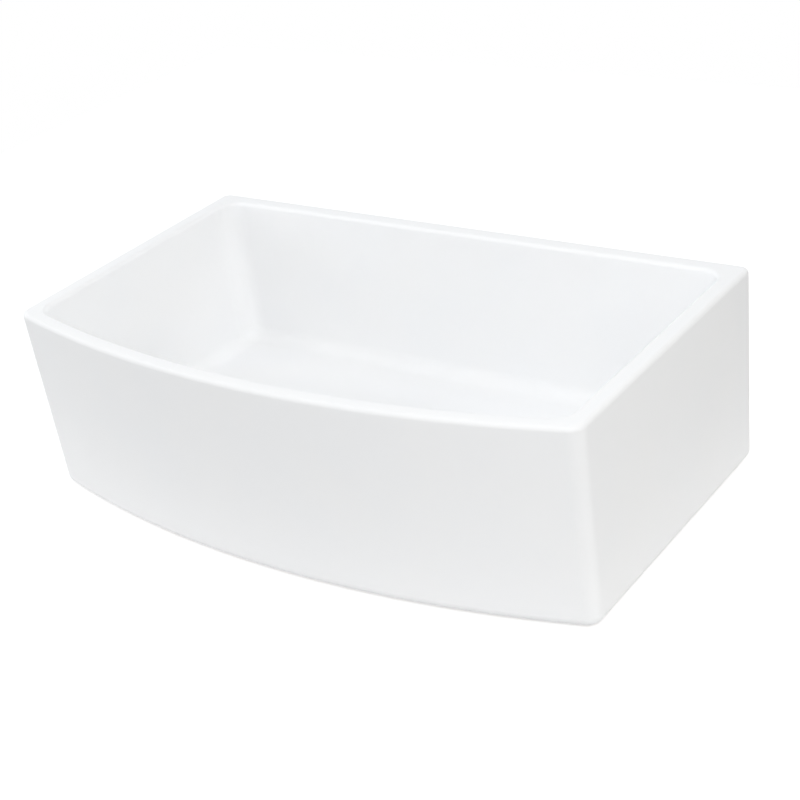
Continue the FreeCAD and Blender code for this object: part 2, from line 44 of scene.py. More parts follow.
# ---------------------------------------------------------------- fireclay basin
# One slip-cast body of fireclay, sprayed with white glaze and fired once. It stands on a foot
# that is wiped clean before firing, so the foot and the pocket inside it stay bare cream clay.
# The solid has the exact form, so only its surface is finished here.
def new_look(name):
    """A new material with its node tree, its main shader and the place on the object."""
    material = bpy.data.materials.new(name)
    material.use_nodes = True
    tree = material.node_tree
    place = tree.nodes.new("ShaderNodeTexCoord").outputs["Object"]
    return material, tree, tree.nodes["Principled BSDF"], place


def feed(tree, socket, value):
    """Put a number or a colour in a socket, or lead another socket to it."""
    if isinstance(value, bpy.types.NodeSocket):
        tree.links.new(value, socket)
    else:
        socket.default_value = value


def add(tree, kind, *values, **named):
    """Add a node. Values fill its sockets in order, names set its options or its sockets."""
    node = tree.nodes.new(kind)
    for name, value in named.items():
        if name in node.bl_rna.properties:
            setattr(node, name, value)
    for i, value in enumerate(values):
        feed(tree, node.inputs[i], value)
    for name, value in named.items():
        if name not in node.bl_rna.properties:
            feed(tree, node.inputs[name.replace("_", " ")], value)
    return node


def maths(tree, operation, *values):
    """One sum on its own: numbers or sockets in, a socket out."""
    return add(tree, "ShaderNodeMath", *values, operation=operation).outputs[0]


def noise(tree, place, per_metre, detail=2.0, roughness=0.5):
    """Even noise from 0 to 1 with so many lumps to the metre."""
    made = add(
        tree, "ShaderNodeTexNoise", Vector=place, Scale=per_metre, Detail=detail,
        Roughness=roughness,
    )
    return made.outputs["Fac"]


def spread(tree, value, low, high, out_low, out_high, smooth=False):
    """Map the range low..high of a value to out_low..out_high, and hold it there outside."""
    made = add(tree, "ShaderNodeMapRange", value, low, high, out_low, out_high)
    if smooth:
        made.interpolation_type = "SMOOTHSTEP"
    return made.outputs[0]


def blend_colour(tree, amount, first, second):
    """The first colour at an amount of 0, the second at 1."""
    mix = tree.nodes.new("ShaderNodeMix")
    mix.data_type = "RGBA"
    feed(tree, mix.inputs[0], amount)
    feed(tree, mix.inputs[6], first)
    feed(tree, mix.inputs[7], second)
    return mix.outputs[2]


def raise_by(tree, height, metres, below=None):
    """Bump whose height of 1 stands for so many metres."""
    made = add(tree, "ShaderNodeBump", Strength=1.0, Distance=metres, Height=height)
    if below is not None:
        tree.links.new(below, made.inputs["Normal"])
    return made.outputs["Normal"]


GLAZE_WHITE = (0.898, 0.901, 0.905, 1)
GLAZE_THICK = (0.891, 0.897, 0.905, 1)      # where it pooled
GLAZE_SPECK = (0.60, 0.585, 0.56, 1)
GLAZE_GLOSS = (0.045, 0.075)                # roughness, least and most
GLAZE_IOR = 1.52
SPECK_CELLS = 55.0                          # to the metre
SPECK_REACH = 0.022                         # of a cell
SPECK_CHANCE = 0.90                         # only cells above it have a speck
SPECK_SHADE = 0.55
CLAY_CREAM = (0.66, 0.585, 0.475, 1)
CLAY_DARK = (0.53, 0.45, 0.35, 1)
CLAY_GROG = (0.34, 0.27, 0.20, 1)
CLAY_MATT = (0.78, 0.92)                    # roughness, least and most
GROG_CELLS = 420.0
GROG_REACH = 0.16
GROG_SHADE = 0.5
GLAZE_LINE = 0.0016                         # height of the wiped edge on the foot
GLAZE_LINE_WANDER = 0.0009                  # how far that edge strays up and down
POCKET_TOP = 0.0208                         # just past the pocket's faces, on all sides
POCKET_SIDE = 0.372
POCKET_BACK = 0.1985
BOW_CENTRE_Y = 1.2357                       # the bows of the front share this centre
POCKET_BOW = 1.4335
SWAY = 0.0016                               # slow waves that drying leaves in the walls
PEEL = 0.00004                              # the glaze's faint orange peel
GRAIN = 0.0004                              # the bare clay's grit

glaze, tree, shader, place = new_look("glazed_fireclay_white")
axes = add(tree, "ShaderNodeSeparateXYZ", place)
x, y, z = axes.outputs
wander = spread(
    tree, noise(tree, place, 26.0, 3.0), 0.3, 0.7, -GLAZE_LINE_WANDER, GLAZE_LINE_WANDER
)
under_foot = maths(tree, "LESS_THAN", maths(tree, "ADD", z, wander), GLAZE_LINE)
ahead = maths(tree, "SUBTRACT", y, BOW_CENTRE_Y)
squares = maths(
    tree, "ADD", maths(tree, "MULTIPLY", x, x), maths(tree, "MULTIPLY", ahead, ahead)
)
from_bow = maths(tree, "SQRT", squares)
in_pocket = maths(tree, "LESS_THAN", z, POCKET_TOP)
for far, limit in (
    (maths(tree, "ABSOLUTE", x), POCKET_SIDE), (y, POCKET_BACK), (from_bow, POCKET_BOW)
):
    in_pocket = maths(tree, "MULTIPLY", in_pocket, maths(tree, "LESS_THAN", far, limit))
bare = maths(tree, "MAXIMUM", under_foot, in_pocket)

pooled = spread(tree, noise(tree, place, 9.0, 2.0), 0.35, 0.7, 0.0, 1.0, True)
white = blend_colour(tree, pooled, GLAZE_WHITE, GLAZE_THICK)
specks = add(tree, "ShaderNodeTexVoronoi", Vector=place, Scale=SPECK_CELLS)
chance = add(tree, "ShaderNodeSeparateColor", specks.outputs["Color"]).outputs[0]
is_speck = maths(
    tree, "MULTIPLY", maths(tree, "LESS_THAN", specks.outputs["Distance"], SPECK_REACH),
    maths(tree, "GREATER_THAN", chance, SPECK_CHANCE),
)
white = blend_colour(tree, maths(tree, "MULTIPLY", is_speck, SPECK_SHADE), white, GLAZE_SPECK)

clay = blend_colour(tree, noise(tree, place, 60.0, 5.0, 0.6), CLAY_CREAM, CLAY_DARK)
grog = add(tree, "ShaderNodeTexVoronoi", Vector=place, Scale=GROG_CELLS)
is_grog = maths(tree, "LESS_THAN", grog.outputs["Distance"], GROG_REACH)
clay = blend_colour(tree, maths(tree, "MULTIPLY", is_grog, GROG_SHADE), clay, CLAY_GROG)
feed(tree, shader.inputs["Base Color"], blend_colour(tree, bare, white, clay))

gloss = spread(tree, noise(tree, place, 14.0, 3.0), 0.3, 0.7, *GLAZE_GLOSS)
matt = spread(tree, noise(tree, place, 90.0, 4.0), 0.3, 0.7, *CLAY_MATT)
rough = add(tree, "ShaderNodeMix", bare, gloss, matt)
tree.links.new(rough.outputs[0], shader.inputs["Roughness"])
shader.inputs["IOR"].default_value = GLAZE_IOR

sway = raise_by(tree, noise(tree, place, 5.0, 1.0), SWAY)
peel = raise_by(tree, noise(tree, place, 70.0, 2.0), PEEL, sway)
grain = maths(tree, "MULTIPLY", noise(tree, place, 900.0, 4.0, 0.7), bare)
tree.links.new(raise_by(tree, grain, GRAIN, peel), shader.inputs["Normal"])
nodes["sink_basin"].material_slots[0].material = glaze


# ---------------------------------------------------------------- flange seal
# A ring of closed-cell foam that the fitter lays in the rebate before the strainer goes in. Its
# cut bubbles are dents in the bump, with painted shade darkening their middles.
# The bubble colour is painted shade: the dark tone that fills each bubble's hollow.
FOAM_BUBBLE_PAINTED_SHADE = (0.20, 0.20, 0.20, 1)
FOAM_WEB = (0.42, 0.42, 0.41, 1)
BUBBLES_TO_METRE = 1500.0

foam, tree, shader, place = new_look("foam_seal_grey")
bubble_hollows_and_shade = add(tree, "ShaderNodeTexVoronoi", Vector=place, Scale=BUBBLES_TO_METRE)
bubble_hollows_and_shade = bubble_hollows_and_shade.outputs["Distance"]
# Painted shade: the foam is darkest at each bubble's middle, where the bump sinks it.
shade = blend_colour(tree, bubble_hollows_and_shade, FOAM_BUBBLE_PAINTED_SHADE, FOAM_WEB)
tree.links.new(shade, shader.inputs["Base Color"])
shader.inputs["Roughness"].default_value = 0.9
tree.links.new(raise_by(tree, bubble_hollows_and_shade, 0.0003), shader.inputs["Normal"])
nodes["flange_seal"].material_slots[0].material = foam


# ---------------------------------------------------------------- strainer body
# Deep-drawn stainless body: a rolled flange that sits in the rebate, a neck with a rolled
# thread, and a floor that falls to the outlet. Its show faces are brushed on a lathe.
def rounded(corners, steps):
    """Outline through (radius, height) corners; a third number rounds that corner."""
    outline = []
    for i, spot in enumerate(corners):
        at = Vector(spot[:2])
        if len(spot) == 2:
            outline.append(at)
            continue
        to_before = (Vector(corners[i - 1][:2]) - at).normalized()
        to_after = (Vector(corners[(i + 1) % len(corners)][:2]) - at).normalized()
        half = to_before.angle(to_after) / 2
        centre = at + (to_before + to_after).normalized() * (spot[2] / math.sin(half))
        run = spot[2] / math.tan(half)
        start = at + to_before * run - centre
        end = at + to_after * run - centre
        sweep = start.angle(end)
        for k in range(steps + 1):
            t = k / steps
            mixed = start * math.sin((1 - t) * sweep) + end * math.sin(t * sweep)
            outline.append(centre + mixed / math.sin(sweep))
    return outline


def turned(corners, around=144, steps=5, clip=None):
    """Closed mesh turned about the drain's axis from a closed outline in millimetres.

    Clip gives the most that the radius may be at an angle, for flats.
    """
    shape = bmesh.new()
    rows = []
    for spot in rounded(corners, steps):
        row = []
        for i in range(around):
            angle = 2 * math.pi * i / around
            radius = spot.x if clip is None else min(spot.x, clip(angle))
            row.append(shape.verts.new(
                (radius * math.cos(angle) * MM, radius * math.sin(angle) * MM, spot.y * MM)
            ))
            if spot.x < 1e-6:
                break
        rows.append(row)
    for i, row in enumerate(rows):
        below = rows[i - 1]
        if len(row) == 1 and len(below) == 1:
            continue
        for k in range(around):
            m = (k + 1) % around
            around_face = [
                below[k % len(below)], below[m % len(below)], row[m % len(row)], row[k % len(row)]
            ]
            shape.faces.new(list(dict.fromkeys(around_face)))
    bmesh.ops.recalc_face_normals(shape, faces=shape.faces)
    mesh = bpy.data.meshes.new("turned")
    shape.to_mesh(mesh)
    shape.free()
    return mesh


def piece(name, meshes, look, slot, body, *replaced):
    """One finished piece from its meshes: named, given its finish and its place in the whole."""
    shape = bmesh.new()
    for mesh in meshes:
        shape.from_mesh(mesh)
    mesh = bpy.data.meshes.new(name)
    shape.to_mesh(mesh)
    shape.free()
    mesh.materials.clear()
    mesh.materials.append(look)
    mesh.shade_smooth()
    mesh.set_sharp_from_angle(angle=math.radians(35))
    made = bpy.data.objects.new(name, mesh)
    scene.collection.objects.link(made)
    weigh = made.modifiers.new("even_shading", "WEIGHTED_NORMAL")
    weigh.keep_sharp = True
    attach(made, body)
    if replaced:
        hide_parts(*replaced)
    return made


def group_input(tree, name, kind, start):
    """Named input of a geometry tree, with the value that it starts from."""
    socket = tree.interface.new_socket(name, in_out="INPUT", socket_type=kind)
    socket.default_value = start
    return socket


def grown(tree, look, **sizes):
    """Run a geometry tree with the sizes given and return its result as a plain mesh."""
    carrier = bpy.data.objects.new("carrier", bpy.data.meshes.new("carrier"))
    scene.collection.objects.link(carrier)
    made = carrier.modifiers.new("tree", "NODES")
    made.node_group = tree
    for item in tree.interface.items_tree:
        if item.in_out == "INPUT" and item.name in sizes:
            made[item.identifier] = sizes[item.name]
        elif item.in_out == "INPUT" and item.name == "Finish":
            made[item.identifier] = look
    graph = bpy.context.evaluated_depsgraph_get()
    graph.update()
    mesh = bpy.data.meshes.new_from_object(carrier.evaluated_get(graph), depsgraph=graph)
    bpy.data.objects.remove(carrier)
    return mesh


def thread_tree():
    """Geometry tree that winds a thread's ridge up a core: a trapezium swept along a helix."""
    tree = bpy.data.node_groups.new("wound_thread", "GeometryNodeTree")
    tree.interface.new_socket("Geometry", in_out="OUTPUT", socket_type="NodeSocketGeometry")
    group_input(tree, "Core", "NodeSocketFloat", 0.01)
    group_input(tree, "Pitch", "NodeSocketFloat", 0.002)
    group_input(tree, "Depth", "NodeSocketFloat", 0.0006)
    group_input(tree, "Turns", "NodeSocketFloat", 4.0)
    group_input(tree, "Foot", "NodeSocketFloat", 0.0)
    group_input(tree, "Spokes", "NodeSocketInt", 96)
    tree.interface.new_socket("Finish", in_out="INPUT", socket_type="NodeSocketMaterial")
    given = tree.nodes.new("NodeGroupInput").outputs
    rise = maths(tree, "MULTIPLY", given["Pitch"], given["Turns"])
    helix = add(
        tree, "GeometryNodeCurveSpiral", Resolution=given["Spokes"], Rotations=given["Turns"],
        Start_Radius=given["Core"], End_Radius=given["Core"], Height=rise,
    )
    lifted = add(tree, "ShaderNodeCombineXYZ", 0.0, 0.0, given["Foot"])
    placed = add(tree, "GeometryNodeTransform", helix.outputs[0], Translation=lifted.outputs[0])
    upright = add(tree, "GeometryNodeSetCurveNormal", placed.outputs[0], mode="Z_UP")
    root = maths(tree, "MULTIPLY", given["Pitch"], 0.86)
    crest = maths(tree, "MULTIPLY", given["Pitch"], 0.2)
    form = add(
        tree, "GeometryNodeCurvePrimitiveQuadrilateral", mode="TRAPEZOID", Bottom_Width=root,
        Top_Width=crest, Height=given["Depth"], Offset=0.0,
    )
    outward = (0.0, 0.0, math.pi / 2)
    proud = add(tree, "ShaderNodeCombineXYZ", maths(tree, "MULTIPLY", given["Depth"], -0.45))
    form = add(
        tree, "GeometryNodeTransform", form.outputs[0], Translation=proud.outputs[0],
        Rotation=outward,
    )
    along = tree.nodes.new("GeometryNodeSplineParameter").outputs["Factor"]
    from_end = maths(tree, "MINIMUM", along, maths(tree, "SUBTRACT", 1.0, along))
    half_turns = maths(tree, "MULTIPLY", given["Turns"], 2.0)
    run_out = maths(tree, "MINIMUM", maths(tree, "MULTIPLY", from_end, half_turns), 1.0)
    ridge = add(
        tree, "GeometryNodeCurveToMesh", upright.outputs[0], form.outputs[0],
        Scale=maths(tree, "MAXIMUM", run_out, 0.05), Fill_Caps=True,
    )
    real = add(tree, "GeometryNodeRealizeInstances", ridge.outputs[0])
    dressed = add(tree, "GeometryNodeSetMaterial", real.outputs[0], Material=given["Finish"])
    tree.links.new(dressed.outputs[0], tree.nodes.new("NodeGroupOutput").inputs[0])
    return tree


RING_BREAKS = (2.2, 2.2, 0.0)      # how often a ring changes on its way round


def brushed(name, colour, lines, rough_low, rough_high, cut):
    """Metal finished on a lathe: fine rings about the axis and a few faint dry water marks."""
    look, tree, shader, place = new_look(name)
    axes = add(tree, "ShaderNodeSeparateXYZ", place)
    x, y, z = axes.outputs
    flat = add(tree, "ShaderNodeCombineXYZ", x, y, 0.0)
    flat = flat.outputs[0]
    radius = add(tree, "ShaderNodeVectorMath", flat, operation="LENGTH").outputs["Value"]
    way = add(tree, "ShaderNodeVectorMath", flat, operation="NORMALIZE").outputs[0]
    turn = add(tree, "ShaderNodeVectorMath", way, RING_BREAKS, operation="MULTIPLY").outputs[0]
    out = add(tree, "ShaderNodeCombineXYZ", 0.0, 0.0, maths(tree, "MULTIPLY", radius, lines))
    spot = add(tree, "ShaderNodeVectorMath", turn, out.outputs[0], operation="ADD").outputs[0]
    rings = add(
        tree, "ShaderNodeTexNoise", Vector=spot, noise_dimensions="4D", Scale=1.0, Detail=3.0,
        W=maths(tree, "MULTIPLY", z, lines),
    ).outputs["Fac"]
    marks = spread(tree, noise(tree, place, 55.0, 2.0), 0.45, 0.75, 0.0, 1.0, True)
    tone = spread(tree, rings, 0.3, 0.7, 0.86, 1.06)
    tone = maths(tree, "SUBTRACT", tone, maths(tree, "MULTIPLY", marks, 0.05))
    shade = add(tree, "ShaderNodeVectorMath", colour, operation="SCALE", Scale=tone).outputs[0]
    tree.links.new(shade, shader.inputs["Base Color"])
    rough = spread(tree, rings, 0.3, 0.7, rough_low, rough_high)
    rough = maths(tree, "ADD", rough, maths(tree, "MULTIPLY", marks, 0.06))
    tree.links.new(rough, shader.inputs["Roughness"])
    shader.inputs["Metallic"].default_value = 1.0
    tree.links.new(raise_by(tree, rings, cut), shader.inputs["Normal"])
    return look


FLANGE_R = 57.0
FLANGE_TOP = 41.1
FLANGE_EDGE = 37.8
FLANGE_DISH_R = 51.0
FLANGE_UNDER = 38.6
FLANGE_STEP_R = 48.7
ROLL_UNDER = 39.7
ROLL_R = 52.0
ROLL_BORE_R = 55.6
SEAT_TOP = 40.0
SEAT_R = 47.5
NECK_BORE_R = 41.3
NECK_R = 42.8
NECK_ROOT_R = 42.05
NECK_PITCH = 2.117
THREAD_FOOT = -5.0
THREAD_HEAD = 33.0
RUN_IN = 0.8                       # taper from the neck down to the thread's root
BOWL_LOW = -11.0
BOWL_UNDER = -12.82
OUTLET_R = 20.5
OUTLET_TOP = -13.5
OUTLET_UNDER = -15.5

winding = thread_tree()
steel = brushed("stainless_steel_brushed", (0.62, 0.62, 0.61), 9000.0, 0.20, 0.34, 0.000012)
body_of_strainer = turned(
    [
        (FLANGE_R, FLANGE_EDGE),
        (FLANGE_R, FLANGE_TOP, 2.6),
        (FLANGE_DISH_R, FLANGE_TOP, 2.2),
        (SEAT_R, SEAT_TOP, 2.0),
        (NECK_BORE_R, SEAT_TOP, 1.6),
        (NECK_BORE_R, BOWL_LOW, 5.4),
        (OUTLET_R, OUTLET_TOP, 1.9),
        (OUTLET_R, OUTLET_UNDER),
        (NECK_R, BOWL_UNDER, 7.0),
        (NECK_R, THREAD_FOOT - RUN_IN),
        (NECK_ROOT_R, THREAD_FOOT),
        (NECK_ROOT_R, THREAD_HEAD),
        (NECK_R, THREAD_HEAD + RUN_IN),
        (NECK_R, FLANGE_UNDER),
        (FLANGE_STEP_R, FLANGE_UNDER, 0.8),
        (ROLL_R, ROLL_UNDER, 1.2),
        (ROLL_BORE_R, ROLL_UNDER, 1.2),
        (ROLL_BORE_R, FLANGE_EDGE),
    ],
    around=192,
)
neck_thread = grown(
    winding, steel, Core=NECK_ROOT_R * MM, Pitch=NECK_PITCH * MM,
    Depth=(NECK_R - NECK_ROOT_R) * MM, Turns=(THREAD_HEAD - THREAD_FOOT) / NECK_PITCH,
    Foot=THREAD_FOOT * MM, Spokes=120,
)
piece("strainer_shell", [body_of_strainer, neck_thread], steel, "stainless_steel", "sink",
      "strainer_body")


# ---------------------------------------------------------------- outlet spigot
# A short threaded tube brazed under the outlet. Inside it a cross of four bars carries the
# hub that guides the stopper's post.
def bar(start, end, width, low, high, edge):
    """Straight bar along +X with eased edges, in millimetres."""
    shape = bmesh.new()
    bmesh.ops.create_cube(shape, size=1.0)
    for corner in shape.verts:
        corner.co = Vector((
            (start + end) / 2 + corner.co.x * (end - start),
            corner.co.y * width,
            (low + high) / 2 + corner.co.z * (high - low),
        )) * MM
    bmesh.ops.bevel(shape, geom=shape.edges[:], offset=edge * MM, segments=3, affect="EDGES")
    mesh = bpy.data.meshes.new("bar")
    shape.to_mesh(mesh)
    shape.free()
    return mesh


def ring_tree():
    """Geometry tree that repeats a shape about the drain's axis and welds the seams."""
    tree = bpy.data.node_groups.new("repeated_around", "GeometryNodeTree")
    tree.interface.new_socket("Geometry", in_out="OUTPUT", socket_type="NodeSocketGeometry")
    group_input(tree, "Copies", "NodeSocketInt", 4)
    group_input(tree, "Turn", "NodeSocketFloat", 0.0)
    group_input(tree, "Weld", "NodeSocketFloat", 0.0)
    tree.interface.new_socket("Shape", in_out="INPUT", socket_type="NodeSocketObject")
    tree.interface.new_socket("Finish", in_out="INPUT", socket_type="NodeSocketMaterial")
    given = tree.nodes.new("NodeGroupInput").outputs
    shape = add(tree, "GeometryNodeObjectInfo", Object=given["Shape"])
    spots = add(tree, "GeometryNodePoints", given["Copies"])
    step = maths(tree, "DIVIDE", 2 * math.pi, given["Copies"])
    index = tree.nodes.new("GeometryNodeInputIndex").outputs[0]
    angle = maths(tree, "ADD", maths(tree, "MULTIPLY", index, step), given["Turn"])
    spin = add(tree, "ShaderNodeCombineXYZ", 0.0, 0.0, angle)
    spin = add(tree, "FunctionNodeEulerToRotation", spin.outputs[0])
    copies = add(
        tree, "GeometryNodeInstanceOnPoints", spots.outputs[0],
        Instance=shape.outputs["Geometry"], Rotation=spin.outputs[0],
    )
    real = add(tree, "GeometryNodeRealizeInstances", copies.outputs[0])
    welded = add(tree, "GeometryNodeMergeByDistance", real.outputs[0], Distance=given["Weld"])
    dressed = add(tree, "GeometryNodeSetMaterial", welded.outputs[0], Material=given["Finish"])
    tree.links.new(dressed.outputs[0], tree.nodes.new("NodeGroupOutput").inputs[0])
    return tree


def ringed(mesh, look, copies, turn=0.0, weld=0.0):
    """So many copies of a mesh about the axis, as one plain mesh."""
    original = bpy.data.objects.new("original", mesh)
    scene.collection.objects.link(original)
    made = grown(ring_by, look, Copies=copies, Turn=turn, Weld=weld, Shape=original)
    bpy.data.objects.remove(original)
    return made


SPIGOT_R = 23.7
SPIGOT_ROOT_R = 23.0
SPIGOT_PITCH = 2.2
SPIGOT_FOOT = -39.5
SPIGOT_HEAD = -15.12
SPIGOT_THREAD_TOP = -17.5
SPIGOT_LEAD = 1.2                  # plain end below the thread
SPIGOT_RUN_OUT = 0.7
HUB_R = 7.1
GUIDE_R = 4.1
CROSS_LOW = -22.2
CROSS_HIGH = -18.7
BAR_START = 5.8
BAR_END = 21.9
BAR_WIDTH = 3.0
BAR_EDGE = 0.45

ring_by = ring_tree()
spigot_tube = turned(
    [
        (OUTLET_R, SPIGOT_FOOT, 0.4),
        (SPIGOT_ROOT_R, SPIGOT_FOOT, 0.4),
        (SPIGOT_ROOT_R, SPIGOT_THREAD_TOP),
        (SPIGOT_R, SPIGOT_THREAD_TOP + SPIGOT_RUN_OUT),
        (SPIGOT_R, SPIGOT_HEAD),
        (OUTLET_R, OUTLET_UNDER),
    ]
)
spigot_thread = grown(
    winding, steel, Core=SPIGOT_ROOT_R * MM, Pitch=SPIGOT_PITCH * MM,
    Depth=(SPIGOT_R - SPIGOT_ROOT_R) * MM, Foot=(SPIGOT_FOOT + SPIGOT_LEAD) * MM,
    Turns=(SPIGOT_THREAD_TOP - SPIGOT_FOOT - SPIGOT_LEAD) / SPIGOT_PITCH, Spokes=96,
)
hub = turned(
    [(GUIDE_R, CROSS_LOW, 0.3), (HUB_R, CROSS_LOW, 0.5), (HUB_R, CROSS_HIGH, 0.5),
     (GUIDE_R, CROSS_HIGH, 0.3)],
    around=64,
)
cross_bar = bar(BAR_START, BAR_END, BAR_WIDTH, CROSS_LOW, CROSS_HIGH, BAR_EDGE)
cross = ringed(cross_bar, steel, 4)
piece("spigot_and_cross", [spigot_tube, spigot_thread, hub, cross], steel, "stainless_steel",
      "sink", "outlet_spigot")


# ---------------------------------------------------------------- gasket and slip washer
# The thick moulded rubber gasket takes up the uneven clay, and the thin washer of pressed
# fibre lets the nut turn without dragging the rubber round with it.
BLOOM = 0.055


def rubbery(name, colour):
    """Moulded rubber with a dusty bloom in patches."""
    look, tree, shader, place = new_look(name)
    bloom = spread(tree, noise(tree, place, 45.0, 4.0, 0.6), 0.42, 0.72, 0.0, 1.0, True)
    dusty = tuple(c + BLOOM for c in colour[:3]) + (1,)
    tree.links.new(blend_colour(tree, bloom, colour, dusty), shader.inputs["Base Color"])
    rough = spread(tree, noise(tree, place, 120.0, 3.0), 0.3, 0.7, 0.50, 0.68)
    tree.links.new(rough, shader.inputs["Roughness"])
    skin = raise_by(tree, noise(tree, place, 1600.0, 2.0), 0.00003)
    tree.links.new(skin, shader.inputs["Normal"])
    return look


rubber = rubbery("black_rubber_moulded", (0.030, 0.030, 0.032, 1))
nodes["body_gasket"].material_slots[0].material = rubber

FIBRE_DARK = (0.30, 0.205, 0.13, 1)
FIBRE_PALE = (0.50, 0.37, 0.25, 1)
HAIR_STRETCH = 6.0
HAIRS_TO_METRE = 420.0

fibre, tree, shader, place = new_look("pressed_fibre_brown")
lengthwise = add(tree, "ShaderNodeMapping", place, Scale=(1.0, HAIR_STRETCH, 1.0)).outputs[0]
crosswise = add(tree, "ShaderNodeMapping", place, Scale=(HAIR_STRETCH, 1.0, 1.0)).outputs[0]
hairs = maths(
    tree, "MAXIMUM", noise(tree, lengthwise, HAIRS_TO_METRE, 4.0),
    noise(tree, crosswise, HAIRS_TO_METRE, 4.0),
)
felted = spread(tree, hairs, 0.45, 0.75, 0.0, 1.0)
tree.links.new(blend_colour(tree, felted, FIBRE_DARK, FIBRE_PALE), shader.inputs["Base Color"])
shader.inputs["Roughness"].default_value = 0.88
tree.links.new(raise_by(tree, hairs, 0.00012), shader.inputs["Normal"])
nodes["fibre_washer"].material_slots[0].material = fibre


# ---------------------------------------------------------------- lock nut
# Sand-cast brass ring with six lugs for the spanner. It is left as cast and tumbled, so its
# edges are eased and its skin is slightly pitted and tarnished.
def eased(node_name, edge):
    """Copy of a solid's mesh, welded, with its flat faces made whole and its edges eased."""
    shape = bmesh.new()
    shape.from_mesh(nodes[node_name].data)
    bmesh.ops.remove_doubles(shape, verts=shape.verts, dist=1e-6)
    bmesh.ops.dissolve_limit(
        shape, angle_limit=math.radians(0.3), verts=shape.verts, edges=shape.edges
    )
    mesh = bpy.data.meshes.new("eased")
    shape.to_mesh(mesh)
    shape.free()
    made = bpy.data.objects.new("eased", mesh)
    scene.collection.objects.link(made)
    ease = made.modifiers.new("eased_edges", "BEVEL")
    ease.width = edge * MM
    ease.segments = 3
    ease.limit_method = "ANGLE"
    ease.angle_limit = math.radians(30)
    graph = bpy.context.evaluated_depsgraph_get()
    graph.update()
    result = bpy.data.meshes.new_from_object(made.evaluated_get(graph), depsgraph=graph)
    bpy.data.objects.remove(made)
    return result


BRASS_BRIGHT = (0.66, 0.50, 0.26, 1)
BRASS_TARNISHED = (0.50, 0.37, 0.18, 1)
BRASS_PIT = (0.26, 0.19, 0.10, 1)
LUG_EDGE = 0.7

brass, tree, shader, place = new_look("cast_brass_tumbled")
patches = noise(tree, place, 70.0, 4.0, 0.6)
pits = noise(tree, place, 700.0, 3.0, 0.6)
tarnish = spread(tree, patches, 0.35, 0.7, 0.0, 1.0)
metal = blend_colour(tree, tarnish, BRASS_BRIGHT, BRASS_TARNISHED)
metal = blend_colour(tree, spread(tree, pits, 0.58, 0.75, 0.0, 0.6), metal, BRASS_PIT)
tree.links.new(metal, shader.inputs["Base Color"])
shader.inputs["Metallic"].default_value = 1.0
rough = spread(tree, patches, 0.3, 0.7, 0.34, 0.52)
tree.links.new(rough, shader.inputs["Roughness"])
skin = raise_by(tree, patches, 0.0002)
tree.links.new(raise_by(tree, pits, 0.00012, skin), shader.inputs["Normal"])
piece("cast_lock_nut", [eased("lock_nut", LUG_EDGE)], brass, "cast_brass", "sink", "lock_nut")


# ---------------------------------------------------------------- tailpiece and its slip nut
# Thin brass tube with a flange at its head, plated bright. The eight-sided slip nut pulls the
# flange and a white nylon washer up against the spigot.
WHEEL_STRETCH = (1, 1, 14)         # the buffing wheel's lines run round the piece
HANDLED = 0.93                     # shade of a hand mark


def plated(name, colour, rough_low, rough_high):
    """Bright plating or polish, with faint hand marks and a trace of the buffing wheel."""
    look, tree, shader, place = new_look(name)
    marks = spread(tree, noise(tree, place, 38.0, 4.0, 0.6), 0.45, 0.75, 0.0, 1.0, True)
    wheel = add(tree, "ShaderNodeMapping", place, Scale=WHEEL_STRETCH).outputs[0]
    buffed = noise(tree, wheel, 260.0, 3.0)
    handled = tuple(c * HANDLED for c in colour[:3]) + (1,)
    tree.links.new(blend_colour(tree, marks, colour, handled), shader.inputs["Base Color"])
    shader.inputs["Metallic"].default_value = 1.0
    rough = spread(tree, marks, 0.0, 1.0, rough_low, rough_high)
    tree.links.new(rough, shader.inputs["Roughness"])
    tree.links.new(raise_by(tree, buffed, 0.000004), shader.inputs["Normal"])
    return look


def nylon_look():
    """Moulded white nylon, slightly translucent."""
    look, tree, shader, place = new_look("white_nylon_moulded")
    flow = noise(tree, place, 80.0, 3.0)
    shade = blend_colour(tree, flow, (0.80, 0.80, 0.76, 1), (0.84, 0.84, 0.82, 1))
    tree.links.new(shade, shader.inputs["Base Color"])
    tree.links.new(spread(tree, flow, 0.3, 0.7, 0.34, 0.46), shader.inputs["Roughness"])
    shader.inputs["Subsurface Weight"].default_value = 0.12
    shader.inputs["Subsurface Radius"].default_value = (0.002, 0.002, 0.0018)
    skin = raise_by(tree, noise(tree, place, 900.0, 2.0), 0.00003)
    tree.links.new(skin, shader.inputs["Normal"])
    return look


TAIL_R = 19.05
TAIL_BORE_R = 18.15
TAIL_FLANGE_R = 23.0
TAIL_TOP = -41.5
TAIL_FLANGE_UNDER = -42.9
TAIL_FOOT = -143.1
SLIP_NUT_EDGE = 0.45

chrome = plated("chromed_brass_bright", (0.70, 0.71, 0.73, 1), 0.07, 0.14)
nylon = nylon_look()
nodes["tailpiece_washer"].material_slots[0].material = nylon
tube = turned(
    [
        (TAIL_BORE_R, TAIL_FOOT, 0.3),
        (TAIL_R, TAIL_FOOT, 0.3),
        (TAIL_R, TAIL_FLANGE_UNDER, 0.9),
        (TAIL_FLANGE_R, TAIL_FLANGE_UNDER, 0.5),
        (TAIL_FLANGE_R, TAIL_TOP, 0.5),
        (TAIL_BORE_R, TAIL_TOP, 0.8),
    ],
    around=128,
)
piece("tail_tube", [tube], chrome, "chromed_brass", "sink", "tailpiece")
piece("slip_nut", [eased("coupling_nut", SLIP_NUT_EDGE)], chrome, "chromed_brass", "sink",
      "coupling_nut")


